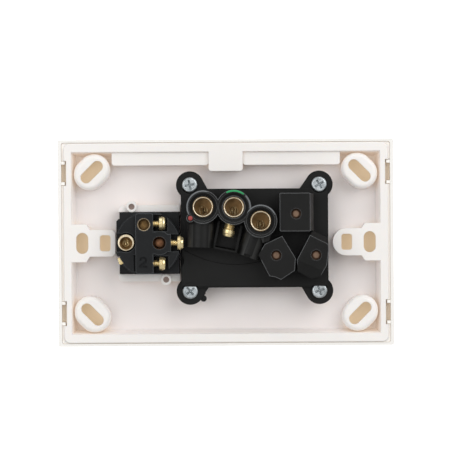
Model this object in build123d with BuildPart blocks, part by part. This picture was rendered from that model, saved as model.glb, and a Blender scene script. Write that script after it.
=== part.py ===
from build123d import *
import os
from math import cos, radians, sin, sqrt

os.makedirs("parts", exist_ok=True)

# Single switched socket outlet, flat three-pin pattern, in millimetres.
# +Z is up, the wall plane is Y = 0, the front faces -Y and the terminals stand out to +Y.
# Every outline is drawn as seen from behind: u to the right (-X), v up (+Z), and w is the height along +Y.

# ---- driving dimensions -------------------------------------------------------------------
cover_half_u, cover_half_v = 58.4, 36.0
base_half_u, base_half_v, base_corner = 56.45, 34.75, 2.2
foot_half_u, foot_half_v, w_foot = 57.15, 34.95, -1.0
rim_half_u, rim_half_v = 53.75, 31.7
w_cover_front, w_cover_inner, w_cover_back = -10.5, -9.2, -0.4
w_floor_back, w_floor_front = -7.0, -9.0
panel_half_u, panel_half_v, panel_corner = 38.0, 25.0, 3.0
window_gap = 0.3

boss_u, boss_v = 46.6, 24.8
boss_len, boss_wid, boss_slot_len, boss_slot_wid = 13.6, 11.2, 9.4, 3.9
w_boss = -0.3
ear_inner_u, ear_outer_u = 42.0, 50.0
w_ledge = -1.3

switch_u, switch_v, switch_r = -26.96, -0.3, 11.3
w_sw_base, w_sw_round, w_sw_column, w_sw_lobe = 3.0, 10.4, 12.4, 12.4
rock_u, rock_w, rock_tilt = -27.0, -8.6, -6.5
rock_window_u, rock_window_v = 12.4, 19.2
see_w, see_tilt = 5.75, -7.0
w_sw_screw = 9.2

body_u0, body_u1, body_v0, body_v1 = -15.6, 35.5, -15.6, 18.7
w_body, w_body_under = 3.0, 1.6
fix_u, fix_v = (-12.47, 32.40), (20.06, -16.78)
ear_r = 4.77
w_ear0, w_ear1 = -0.5, 1.5

socket_u, socket_v = 24.15, -0.45
pin_line, pin_earth = 7.92, 10.31
slot_line, slot_earth, slot_wid = 6.8, 8.3, 1.9
w_house, w_hex = 14.0, 13.4

t1 = (-7.85, 12.35)
t2 = (2.73, 12.18)
t3 = (11.95, 7.4)
tube_ro, tube_ri = 3.65, 3.0
w_tube0, w_tube1, w_barrel = 3.0, 15.5, 16.0
barrel_r = (5.7, 6.0, 5.65)
w_skirt = 13.0
fan = (2.0, 12.0, 20.5)
w_screw = 9.4
screw_r, head_r, head_t = 1.9, 2.15, 2.4
run = 0.05

line_angle = {"active": -60.0, "neutral": 60.0}
active_at = (socket_u - pin_line * sin(radians(60)), socket_v - pin_line * cos(radians(60)))
neutral_at = (socket_u + pin_line * sin(radians(60)), socket_v - pin_line * cos(radians(60)))
earth_at = (socket_u, socket_v + pin_earth)

hex_left = [
    (13.35, -0.52), (19.32, 2.21), (23.90, -5.46), (23.58, -9.71),
    (18.86, -12.84), (16.86, -11.90), (14.88, -11.57), (11.16, -4.28),
]
hex_right = [
    (35.20, 1.27), (29.70, 4.00), (24.40, -6.01), (24.50, -9.95),
    (29.34, -12.65), (32.44, -11.72), (34.64, -7.91), (35.29, -2.87),
]


def back(w):
    return Plane((0, w, 0), x_dir=(-1, 0, 0), z_dir=(0, 1, 0))


def tilted(u, w, degrees):
    # a back-facing plane through a horizontal axis, turned about that axis
    a = radians(degrees)
    return Plane((-u, w, 0), x_dir=(-1, 0, 0), z_dir=(0, cos(a), sin(a)))


def away(point, degrees, distance):
    # a point at this distance down the fan line that leans this far from straight down
    a = radians(degrees)
    return (point[0] - distance * sin(a), point[1] - distance * cos(a))


def across(point, degrees, distance, w=w_screw):
    # a plane square to the fan line, looking down the line
    a = radians(degrees)
    u, v = away(point, degrees, distance)
    return Plane((-u, w, v), x_dir=(0, 1, 0), z_dir=(sin(a), 0, -cos(a)))


def beside(u):
    # a plane square to the switch screws, looking to the right as seen from behind
    return Plane((-u, w_sw_screw, 0), x_dir=(0, 0, 1), z_dir=(-1, 0, 0))


# ---- cover plate: the frame around the front -----------------------------------------------
with BuildPart() as cover_plate:
    with BuildSketch(back(w_cover_front)):
        Rectangle(2 * cover_half_u, 2 * cover_half_v)
    extrude(amount=w_cover_back - w_cover_front)
    fillet(cover_plate.edges().filter_by(Axis.Y), radius=0.7)
    fillet(cover_plate.faces().sort_by(Axis.Y)[0].edges(), radius=1.5)
    with BuildSketch(back(w_cover_inner)):
        RectangleRounded(2 * foot_half_u + 0.1, 2 * foot_half_v + 0.1, 0.8)
    extrude(amount=20, mode=Mode.SUBTRACT)
    with BuildSketch(back(w_cover_front - 1)):
        RectangleRounded(
            2 * (panel_half_u + window_gap), 2 * (panel_half_v + window_gap), panel_corner + window_gap
        )
    extrude(amount=4, mode=Mode.SUBTRACT)
    # the ribs that guide the cover down the notches of the base
    with BuildSketch(back(w_cover_inner)):
        for su in (-1, 1):
            for sv in (-1, 1):
                for dv in (-3.6, 3.6):
                    with Locations((su * 56.7, sv * 24.4 + dv)):
                        Rectangle(1.5, 1.1)
    extrude(amount=w_cover_back - 0.2 - w_cover_inner)

# ---- base plate: rim, floor, panel, ears, bosses and frames --------------------------------
with BuildPart() as pocket:
    with BuildSketch(back(0.0)):
        Rectangle(2 * rim_half_u, 2 * rim_half_v)
    extrude(amount=w_floor_back, taper=10)
    fillet(pocket.faces().sort_by(Axis.Y)[0].edges(), radius=0.9)

with BuildPart() as bosses:
    with BuildSketch(back(w_floor_back - 0.5)):
        for su, sv, turn in ((-1, 1, 45), (1, 1, -45), (-1, -1, -45), (1, -1, 45)):
            with Locations(Location((su * boss_u, sv * boss_v, 0), (0, 0, turn))):
                SlotOverall(boss_len, boss_wid)
    extrude(amount=w_boss - w_floor_back + 0.5, taper=1.5)
    fillet(bosses.faces().group_by(Axis.Y)[-1].edges(), radius=1.5)

with BuildPart() as base_plate:
    with BuildSketch(back(w_floor_front)):
        RectangleRounded(2 * base_half_u, 2 * base_half_v, base_corner)
    extrude(amount=-w_floor_front)
    fillet(base_plate.faces().sort_by(Axis.Y)[-1].outer_wire().edges(), radius=0.35)
    with BuildSketch(back(w_floor_front)):
        RectangleRounded(2 * foot_half_u, 2 * foot_half_v, 0.9)
    extrude(amount=w_foot - w_floor_front)
    with BuildSketch(back(w_cover_front)):
        RectangleRounded(2 * panel_half_u, 2 * panel_half_v, panel_corner)
    extrude(amount=2.0)
    fillet(base_plate.faces().sort_by(Axis.Y)[0].edges(), radius=0.4)
    add(pocket.part, mode=Mode.SUBTRACT)
    # side ears
    with BuildSketch(back(w_floor_back - 0.5)):
        with BuildLine():
            Polyline(
                (-54.6, 6.6), (-48.6, 6.6), (-47.4, 4.65), (-39.6, 4.65), (-38.5, 3.6), (-38.5, -3.8),
                (-39.6, -4.65), (-47.4, -4.65), (-48.6, -6.6), (-54.6, -6.6), (-54.6, 6.6),
            )
        make_face()
        with BuildLine():
            Polyline(
                (54.6, 6.55), (48.4, 6.55), (47.2, 4.75), (42.0, 4.75),
            )
            ThreePointArc((42.0, 4.75), (37.15, 0), (42.0, -4.75))
            Polyline((42.0, -4.75), (47.2, -4.75), (48.4, -6.55), (54.6, -6.55), (54.6, 6.55))
        make_face()
    extrude(amount=-w_floor_back + 0.5)
    # corner bosses
    add(bosses.part)
    # top ledges and centre tab
    with BuildSketch(back(w_floor_back - 0.5)):
        with Locations(((-39.6 - 5.9) / 2, 29.8), ((39.9 + 6.0) / 2, 29.8)):
            RectangleRounded(33.8, 5.6, 1.0)
        with Locations((-9.0, 31.5), (9.0, 31.5)):
            Rectangle(8, 2.2)
        with Locations((0, 30.9)):
            Rectangle(78.6, 2.0)
    extrude(amount=w_ledge - w_floor_back + 0.5)
    with BuildSketch(back(w_floor_back - 0.5)):
        with Locations((0.05, 28.8)):
            RectangleRounded(11.9, 7.8, 1.0)
    extrude(amount=-w_floor_back + 0.5)
    # frame around the switch
    with BuildSketch(back(w_floor_back - 0.5)):
        with BuildLine():
            Polyline(
                (-37.4, 10.85), (-16.0, 10.85), (-16.0, 13.2), (-36.0, 13.2), (-37.4, 12.0), (-37.4, 10.85)
            )
        make_face()
        with BuildLine():
            Polyline(
                (-37.4, -10.85), (-16.0, -10.85), (-16.0, -13.4), (-36.4, -13.4), (-37.4, -12.6), (-37.4, -10.85)
            )
        make_face()
        with Locations((-38.75, 0)):
            Rectangle(1.1, 9.0)
    extrude(amount=-1.6 - w_floor_back + 0.5)
    with BuildSketch(back(w_floor_back - 0.5)):
        with Locations((-32.8, 12.65), (-20.9, -12.8)):
            Circle(1.9)
    extrude(amount=-0.3 - w_floor_back + 0.5)
    with BuildSketch(back(-0.3)):
        with Locations((-32.8, 12.65), (-20.9, -12.8)):
            Circle(1.05)
    extrude(amount=-1.2, mode=Mode.SUBTRACT)
    # posts that take the four fixing screws of the socket body
    with BuildSketch(back(w_floor_back - 0.5)):
        for pu in fix_u:
            for pv in fix_v:
                with Locations((pu, pv)):
                    Circle(3.4)
    extrude(amount=w_ear0 - 0.05 - w_floor_back + 0.5)
    with BuildSketch(back(w_ear0)):
        for pu in fix_u:
            for pv in fix_v:
                with Locations((pu, pv)):
                    Circle(1.5)
    extrude(amount=-5.9, mode=Mode.SUBTRACT)
    # wells behind the ears and bosses, open at the front for the mounting screws
    with BuildSketch(back(w_floor_front - 0.1)):
        with Locations((-50.5, 0), (50.5, 0)):
            RectangleRounded(5.4, 9.0, 1.0)
        with Locations((-44.9, 0), (44.9, 0)):
            RectangleRounded(9.8, 6.9, 1.0)
        for su, sv, turn in ((-1, 1, 45), (1, 1, -45), (-1, -1, -45), (1, -1, 45)):
            with Locations(Location((su * boss_u, sv * boss_v, 0), (0, 0, turn))):
                SlotOverall(boss_len - 3.0, boss_wid - 3.0)
    extrude(amount=-2.2 - w_floor_front + 0.1, mode=Mode.SUBTRACT)
    # fixing slots
    with BuildSketch(back(-2.6)):
        for su in (-1, 1):
            with Locations((su * ear_inner_u, 0)):
                RectangleRounded(3.7, 5.55, 0.9)
            with Locations(Location((su * ear_outer_u, 0, 0), (0, 0, 90))):
                SlotOverall(7.3, 4.2)
        for su, sv, turn in ((-1, 1, 45), (1, 1, -45), (-1, -1, -45), (1, -1, 45)):
            with Locations(Location((su * boss_u, sv * boss_v, 0), (0, 0, turn))):
                SlotOverall(boss_slot_len, boss_slot_wid)
    extrude(amount=4, mode=Mode.SUBTRACT)
    # notches in the rim, with a channel at each end for the cover's ribs
    with BuildSketch(back(-2.4)):
        for su in (-1, 1):
            for sv in (-1, 1):
                with Locations((su * 56.6, sv * 24.4)):
                    Rectangle(2.2, 8.6)
    extrude(amount=3, mode=Mode.SUBTRACT)
    with BuildSketch(back(w_floor_front - 0.1)):
        for su in (-1, 1):
            for sv in (-1, 1):
                for dv in (-3.6, 3.6):
                    with Locations((su * 56.85, sv * 24.4 + dv)):
                        Rectangle(2.0, 1.4)
    extrude(amount=10, mode=Mode.SUBTRACT)
    # window of the rocker, with the seats of its two pivots
    with BuildSketch(back(w_cover_front - 1)):
        with Locations((rock_u, 0)):
            Rectangle(rock_window_u, rock_window_v)
    extrude(amount=6, mode=Mode.SUBTRACT)
    with BuildSketch(Plane((-rock_u, 0, 0), x_dir=(0, 1, 0), z_dir=(1, 0, 0))):
        with Locations((rock_w, 0)):
            Circle(0.85)
        with Locations((rock_w + 1.5, 0)):
            Rectangle(3.0, 1.7)
    extrude(amount=rock_window_u / 2 + 1.25, both=True, mode=Mode.SUBTRACT)
    # pin apertures
    with BuildSketch(back(w_cover_front - 1)):
        with Locations(Location((*active_at, 0), (0, 0, line_angle["active"]))):
            Rectangle(slot_line, slot_wid)
        with Locations(Location((*neutral_at, 0), (0, 0, line_angle["neutral"]))):
            Rectangle(slot_line, slot_wid)
        with Locations(Location((*earth_at, 0), (0, 0, 90))):
            Rectangle(slot_earth, slot_wid)
    extrude(amount=6, mode=Mode.SUBTRACT)

# ---- socket body: black moulding with contact housings, barrels and hoods ------------------
# the right line housing has a shallow slope across its lower end and a bevelled outer side
fold = Plane(
    (-28.78, w_hex, -7.85),
    x_dir=(-0.918, 0, -0.397),
    z_dir=(0.397 * sin(radians(11)), cos(radians(11)), -0.918 * sin(radians(11))),
)
with BuildPart() as right_housing:
    with BuildSketch(back(w_body - 0.5)):
        with BuildLine():
            Polyline(*hex_right, hex_right[0])
        make_face()
    extrude(amount=w_hex - w_body + 0.5)
    top = right_housing.faces().sort_by(Axis.Y)[-1]
    chamfer(
        [e for e in top.edges() if e.center().Z > 2.0 and e.center().X < -30.0], length=1.8, length2=2.2, reference=top
    )
    with BuildSketch(fold):
        with Locations((0, -6)):
            Rectangle(20, 12)
    extrude(amount=4, mode=Mode.SUBTRACT)

with BuildPart() as socket_body:
    # skirt and roof
    with BuildSketch(back(w_floor_back + 0.05)):
        with Locations(((body_u0 + body_u1) / 2, (body_v0 + body_v1) / 2)):
            Rectangle(body_u1 - body_u0, body_v1 - body_v0)
        for pu in fix_u:
            for pv in fix_v:
                with Locations((pu, pv)):
                    Circle(3.6, mode=Mode.SUBTRACT)
    extrude(amount=w_ear0 - w_floor_back - 0.05)
    with BuildSketch(back(w_ear0)):
        with Locations(((body_u0 + body_u1) / 2, (body_v0 + body_v1) / 2)):
            Rectangle(body_u1 - body_u0, body_v1 - body_v0)
    extrude(amount=w_body - w_ear0)
    # fixing ears with their flared webs
    with BuildSketch(back(w_ear0)):
        for pu, pv, eu, ev in (
            (fix_u[0], fix_v[0], -6.3, body_v1),
            (fix_u[1], fix_v[0], 25.7, body_v1),
            (fix_u[0], fix_v[1], -6.1, body_v0),
            (fix_u[1], fix_v[1], 26.2, body_v0),
        ):
            with Locations((pu, pv)):
                Circle(ear_r)
            sv = 1 if pv > 0 else -1
            su = -1 if pu < 0 else 1
            with BuildLine():
                Polyline(
                    (eu, ev),
                    (pu - su * 4.2, pv + sv * 2.2),
                    (pu, pv),
                    (pu + su * 2.6, pv - sv * 2.0),
                    (pu + su * 2.6, ev - sv * 3.0),
                    (eu, ev),
                )
            make_face()
    extrude(amount=w_ear1 - w_ear0)
    # nub left by the moulding gate
    with BuildSketch(back(w_ear0)):
        with Locations((-7.9, -19.4)):
            Circle(1.1)
        with Locations(Location((-8.6, -18.3, 0), (0, 0, 55))):
            Rectangle(3.0, 1.6)
    extrude(amount=w_ear1 - w_ear0 - 0.3)
    # earth housing
    with BuildSketch(back(w_body - 0.5)):
        with Locations((23.8, 10.4)):
            RectangleRounded(10.6, 13.2, 0.5)
        with Locations((29.0, 10.4)):
            Rectangle(2.4, 12.8)
    extrude(amount=w_house - w_body + 0.5)
    with BuildSketch(Plane((0, 0, 3.0), x_dir=(-1, 0, 0), z_dir=(0, 0, 1))):
        with BuildLine():
            Polyline((29.0, 0.1 - w_house - 0.2), (30.6, -w_house - 0.1), (30.6, 4.2 - w_house), (29.0, -w_house - 0.1))
        make_face()
    extrude(amount=15, mode=Mode.SUBTRACT)
    # line housings
    with BuildSketch(back(w_body - 0.5)):
        with BuildLine():
            Polyline(*hex_left, hex_left[0])
        make_face()
    extrude(amount=w_hex - w_body + 0.5)
    add(right_housing.part)
    # barrels of the three tunnel terminals
    with BuildSketch(back(w_body - 0.5)):
        for point, r in zip((t1, t2, t3), barrel_r):
            with Locations(point):
                Circle(r)
        with Locations((-12.2, 8.5)):
            Circle(1.4)
    extrude(amount=w_barrel - w_body + 0.5)
    # hoods over the outer two screws
    for point, degrees, reach, r, aside in ((t1, fan[0], 14.0, 4.5, 0.45), (t3, fan[2], 13.2, 3.9, 0.1)):
        with BuildSketch(across(point, degrees, 0)):
            with Locations((0, aside)):
                Circle(r)
            with Locations((-(w_screw - w_body + 0.5) / 2, aside)):
                Rectangle(w_screw - w_body + 0.5, 2 * r)
        extrude(amount=reach)
    # skirt between the third barrel and the left housing
    with BuildSketch(back(w_body - 0.5)):
        with BuildLine():
            Polyline((17.4, 7.0), (15.6, 3.1), (14.9, 0.4), (12.6, -0.2), (11.6, 3.0), (12.0, 7.0), (17.4, 7.0))
        make_face()
    extrude(amount=w_skirt - w_body + 0.5)
    # compartment of the middle screw and the low walls beside it
    with BuildSketch(back(w_body - 0.5)):
        for along, beside_it, wide, tall in ((10.2, 3.95, 0.9, 9.4), (10.2, -3.95, 0.9, 9.4), (14.95, 0, 8.8, 0.7)):
            du, dv = away(t2, fan[1], along)
            du += beside_it * cos(radians(fan[1]))
            dv -= beside_it * sin(radians(fan[1]))
            with Locations(Location((du, dv, 0), (0, 0, -fan[1]))):
                Rectangle(wide, tall)
    extrude(amount=6.6)
    with BuildSketch(back(w_body - 0.5)):
        with BuildLine():
            Polyline((-9.0, 8.0), (-9.0, -1.0), (-4.4, -1.0), (3.9, -2.4), (9.4, -2.0), (10.5, 6.0), (-9.0, 8.0))
        make_face()
    extrude(amount=2.2)
    # low step that follows an arc below the terminals
    with BuildSketch(back(w_body - 0.5)):
        with BuildLine():
            Polyline((body_u0 + 0.3, -1.9), (body_u0 + 0.3, -15.2), (35.1, -15.2), (35.1, -6.3), (13.0, -6.3))
            RadiusArc((13.0, -6.3), (body_u0 + 0.3, -1.9), 34.0)
        make_face()
    extrude(amount=0.75)
    # contact chamber below the roof
    with BuildSketch(back(w_floor_back)):
        with Locations(((body_u0 + body_u1) / 2, (body_v0 + body_v1) / 2)):
            Rectangle(body_u1 - body_u0 - 3.2, body_v1 - body_v0 - 3.2)
        for pu in fix_u:
            for pv in fix_v:
                with Locations((pu, pv)):
                    Circle(5.1, mode=Mode.SUBTRACT)
    extrude(amount=w_body_under - w_floor_back, mode=Mode.SUBTRACT)
    # hollows of the housings
    with BuildSketch(back(w_floor_back + 2)):
        with Locations((23.9, 10.0)):
            Rectangle(7.9, 9.9)
        with Locations(Location((*active_at, 0), (0, 0, line_angle["active"]))):
            Rectangle(6.9, 3.9)
        with Locations(Location((*neutral_at, 0), (0, 0, line_angle["neutral"]))):
            Rectangle(6.9, 3.9)
    extrude(amount=12.2 - w_floor_back - 2, mode=Mode.SUBTRACT)
    # small sight holes over the contacts
    with BuildSketch(back(w_hex)):
        with Locations(active_at, neutral_at):
            Circle(1.75)
    extrude(amount=-3.0, taper=16, mode=Mode.SUBTRACT)
    with BuildSketch(back(w_house)):
        with Locations(earth_at):
            Circle(1.75)
    extrude(amount=-3.0, taper=14, mode=Mode.SUBTRACT)
    # bores for the terminal tubes
    with BuildSketch(back(0)):
        for point in (t1, t2, t3):
            with Locations(point):
                Circle(tube_ro + run)
    extrude(amount=20, mode=Mode.SUBTRACT)
    # conical mouths, so that only a narrow lip of each barrel is left
    for point, r in zip((t1, t2, t3), barrel_r):
        with BuildSketch(back(w_barrel)):
            with Locations(point):
                Circle(r - 0.8)
        extrude(amount=-0.9, taper=52, mode=Mode.SUBTRACT)
    # screw passages: shank hole through each barrel, then the room for the head
    for point, degrees in zip((t1, t2, t3), fan):
        with BuildSketch(across(point, degrees, 0)):
            Circle(screw_r + run)
        extrude(amount=8, mode=Mode.SUBTRACT)
    for point, degrees, start, r in ((t1, fan[0], 6.4, 2.9), (t3, fan[2], 6.3, 2.6)):
        with BuildSketch(across(point, degrees, start)):
            Circle(r)
            with Locations((-2.6, 0)):
                Rectangle(5.2, 2 * r)
        extrude(amount=12, mode=Mode.SUBTRACT)
    with BuildSketch(across(t2, fan[1], 6.2)):
        with Locations((2.5, 0)):
            Rectangle(15, 7.0)
    extrude(amount=8.4, mode=Mode.SUBTRACT)
    # slot in the end lip of the right hood
    with BuildSketch(across(t3, fan[2], 12.4)):
        with Locations((3.2, 0)):
            Rectangle(1.4, 2.6)
    extrude(amount=3, mode=Mode.SUBTRACT)
    # screw holes in the ears and the half-round relief in the left edge
    with BuildSketch(back(w_ear0 - 1)):
        for pu in fix_u:
            for pv in fix_v:
                with Locations((pu, pv)):
                    Circle(1.6)
    extrude(amount=6, mode=Mode.SUBTRACT)
    with BuildSketch(back(0.5)):
        with Locations((body_u0 - 1.0, -6.3)):
            Circle(2.05)
    extrude(amount=5, mode=Mode.SUBTRACT)
    # room for the flange of the fixing screw heads beside the roof
    with BuildSketch(back(w_ear1)):
        for pu in fix_u:
            for pv in fix_v:
                with Locations((pu, pv)):
                    Circle(3.0)
    extrude(amount=1.7, mode=Mode.SUBTRACT)

# ---- insulating plate that closes the contact chamber behind the panel ---------------------
with BuildPart() as socket_front_plate:
    with BuildSketch(back(w_floor_back + 0.1)):
        with Locations(((body_u0 + body_u1) / 2, (body_v0 + body_v1) / 2)):
            Rectangle(body_u1 - body_u0 - 3.4, body_v1 - body_v0 - 3.4)
        for pu in fix_u:
            for pv in fix_v:
                with Locations((pu, pv)):
                    Circle(5.2, mode=Mode.SUBTRACT)
        with Locations(Location((*active_at, 0), (0, 0, line_angle["active"]))):
            Rectangle(slot_line, slot_wid, mode=Mode.SUBTRACT)
        with Locations(Location((*neutral_at, 0), (0, 0, line_angle["neutral"]))):
            Rectangle(slot_line, slot_wid, mode=Mode.SUBTRACT)
        with Locations(Location((*earth_at, 0), (0, 0, 90))):
            Rectangle(slot_earth, slot_wid, mode=Mode.SUBTRACT)
    extrude(amount=1.0)


# ---- contacts: a folded clip for each pin, with a strip to its terminal --------------------
# Each strip runs at its own level, so the three pass over each other.
with BuildPart() as active_contact:
    with BuildSketch(back(-5.4)):
        with Locations(Location((*active_at, 0), (0, 0, line_angle["active"]))):
            Rectangle(6.4, 3.3)
    extrude(amount=16.8)
    with BuildSketch(back(-5.4)):
        with BuildLine():
            Line(t1, active_at)
            offset(amount=1.9)
        make_face()
    extrude(amount=0.8)
    with BuildSketch(back(-5.4)):
        with Locations(t1):
            Rectangle(2.6, 2.6)
    extrude(amount=7.6)
    with BuildSketch(back(1.9)):
        with Locations(t1):
            Circle(3.2)
    extrude(amount=1.05)
    with BuildSketch(back(-6.0)):
        with Locations(Location((*active_at, 0), (0, 0, line_angle["active"]))):
            Rectangle(8.6, 1.75)
    extrude(amount=16.6, mode=Mode.SUBTRACT)

with BuildPart() as neutral_contact:
    with BuildSketch(back(-5.4)):
        with Locations(Location((*neutral_at, 0), (0, 0, line_angle["neutral"]))):
            Rectangle(6.4, 3.3)
    extrude(amount=16.8)
    with BuildSketch(back(-3.4)):
        with BuildLine():
            Line(t3, neutral_at)
            offset(amount=1.7)
        make_face()
    extrude(amount=0.8)
    with BuildSketch(back(-3.4)):
        with Locations(t3):
            Rectangle(2.6, 2.6)
    extrude(amount=5.6)
    with BuildSketch(back(1.9)):
        with Locations(t3):
            Circle(3.2)
    extrude(amount=1.05)
    with BuildSketch(back(-6.0)):
        with Locations(Location((*neutral_at, 0), (0, 0, line_angle["neutral"]))):
            Rectangle(8.6, 1.75)
    extrude(amount=16.6, mode=Mode.SUBTRACT)

with BuildPart() as earth_contact:
    with BuildSketch(back(-5.4)):
        with Locations(Location((*earth_at, 0), (0, 0, 90))):
            Rectangle(8.0, 3.3)
    extrude(amount=17.0)
    with BuildSketch(back(-1.2)):
        with BuildLine():
            Line(t2, earth_at)
            offset(amount=1.5)
        make_face()
    extrude(amount=0.8)
    with BuildSketch(back(-1.2)):
        with Locations(t2):
            Rectangle(2.6, 2.6)
    extrude(amount=3.4)
    with BuildSketch(back(1.9)):
        with Locations(t2):
            Circle(3.2)
    extrude(amount=1.05)
    with BuildSketch(back(-6.0)):
        with Locations(Location((*earth_at, 0), (0, 0, 90))):
            Rectangle(9.6, 1.75)
    extrude(amount=16.8, mode=Mode.SUBTRACT)

# ---- tunnel terminal tubes of the socket ---------------------------------------------------
with BuildPart() as active_terminal:
    with BuildSketch(back(w_tube0)):
        with Locations(t1):
            Circle(tube_ro)
            Circle(tube_ri, mode=Mode.SUBTRACT)
    extrude(amount=w_tube1 - w_tube0)
    with BuildSketch(across(t1, fan[0], 0)):
        Circle(screw_r + run)
    extrude(amount=5, mode=Mode.SUBTRACT)

with BuildPart() as earth_terminal:
    with BuildSketch(back(w_tube0)):
        with Locations(t2):
            Circle(tube_ro)
            Circle(tube_ri, mode=Mode.SUBTRACT)
    extrude(amount=w_tube1 - w_tube0)
    with BuildSketch(across(t2, fan[1], 0)):
        Circle(screw_r + run)
    extrude(amount=5, mode=Mode.SUBTRACT)

with BuildPart() as neutral_terminal:
    with BuildSketch(back(w_tube0)):
        with Locations(t3):
            Circle(tube_ro)
            Circle(tube_ri, mode=Mode.SUBTRACT)
    extrude(amount=w_tube1 - w_tube0)
    with BuildSketch(across(t3, fan[2], 0)):
        Circle(screw_r + run)
    extrude(amount=5, mode=Mode.SUBTRACT)

# ---- terminal screws of the socket, each backed out of its tube ----------------------------
head_at = 7.9
with BuildPart() as active_terminal_screw:
    with BuildSketch(across(t1, fan[0], 3.0)):
        Circle(screw_r)
    extrude(amount=head_at - 3.0 + 0.3)
    with BuildSketch(across(t1, fan[0], head_at)):
        Circle(head_r)
    extrude(amount=head_t)
    fillet(active_terminal_screw.edges().filter_by(GeomType.CIRCLE).sort_by(Axis.Z)[0], radius=0.35)
    with BuildSketch(across(t1, fan[0], head_at + head_t - 1.0)):
        Rectangle(0.7, 5)
    extrude(amount=2, mode=Mode.SUBTRACT)

with BuildPart() as earth_terminal_screw:
    with BuildSketch(across(t2, fan[1], 3.0)):
        Circle(screw_r)
    extrude(amount=head_at - 3.0 + 0.3)
    with BuildSketch(across(t2, fan[1], head_at)):
        Circle(head_r)
    extrude(amount=head_t)
    fillet(earth_terminal_screw.edges().filter_by(GeomType.CIRCLE).sort_by(Axis.Z)[0], radius=0.35)
    with BuildSketch(across(t2, fan[1], head_at + head_t - 1.0)):
        Rectangle(5, 0.7)
    extrude(amount=2, mode=Mode.SUBTRACT)

with BuildPart() as neutral_terminal_screw:
    with BuildSketch(across(t3, fan[2], 3.0)):
        Circle(screw_r)
    extrude(amount=head_at - 3.0 + 0.3)
    with BuildSketch(across(t3, fan[2], head_at)):
        Circle(head_r)
    extrude(amount=head_t)
    fillet(neutral_terminal_screw.edges().filter_by(GeomType.CIRCLE).sort_by(Axis.Z)[0], radius=0.35)
    with BuildSketch(across(t3, fan[2], head_at + head_t - 1.0)):
        Rectangle(0.7, 5)
    extrude(amount=2, mode=Mode.SUBTRACT)

# ---- four cross-recess screws that fix the socket body to the base -------------------------
with BuildPart() as socket_fixing_screws:
    with BuildSketch(back(w_ear0 - 5.0)):
        for pu in fix_u:
            for pv in fix_v:
                with Locations((pu, pv)):
                    Circle(1.45)
    extrude(amount=w_ear1 - w_ear0 + 5.0)
    with BuildSketch(back(w_ear1)):
        for pu in fix_u:
            for pv in fix_v:
                with Locations((pu, pv)):
                    Circle(2.68)
    extrude(amount=1.5)
    fillet(
        socket_fixing_screws.edges().filter_by(GeomType.CIRCLE).group_by(Axis.Y)[-1], radius=0.6
    )
    with BuildSketch(back(w_ear1 + 1.5)):
        for pu, pv, turn in (
            (fix_u[0], fix_v[0], 12), (fix_u[1], fix_v[0], 30), (fix_u[0], fix_v[1], 40), (fix_u[1], fix_v[1], 20)
        ):
            with Locations(Location((pu, pv, 0), (0, 0, turn))):
                Rectangle(3.3, 0.65)
                Rectangle(0.65, 3.3)
    extrude(amount=-1.3, taper=8, mode=Mode.SUBTRACT)

# ---- switch: square base that holds the rocker's stem --------------------------------------
with BuildPart() as switch_base:
    with BuildSketch(back(w_floor_back + 0.05)):
        with Locations((-26.55, 0.0)):
            Rectangle(20.7, 21.4)
        with BuildLine():
            Polyline((-36.0, 8.4), (-37.2, 8.4), (-38.0, 7.6), (-38.0, -3.0), (-37.2, -3.8), (-36.0, -3.8), (-36.0, 8.4))
        make_face()
    extrude(amount=w_sw_base - w_floor_back - 0.05)
    # fingers that keep the rocker's pivots in their seats
    with BuildSketch(back(w_floor_back + 0.5)):
        with Locations((rock_u - rock_window_u / 2 - 0.65, 0), (rock_u + rock_window_u / 2 + 0.65, 0)):
            Rectangle(1.1, 1.5)
    extrude(amount=rock_w + 0.9 - w_floor_back - 0.5)
    # room for the back of the rocker and for its stem
    with BuildSketch(back(w_floor_back - 0.5)):
        with Locations((rock_u, 0)):
            Rectangle(rock_window_u, rock_window_v + 0.2)
    extrude(amount=2.9, mode=Mode.SUBTRACT)
    with BuildSketch(back(w_floor_back)):
        with Locations((rock_u, 0)):
            Rectangle(6.4, 9.6)
    extrude(amount=12, mode=Mode.SUBTRACT)

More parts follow.
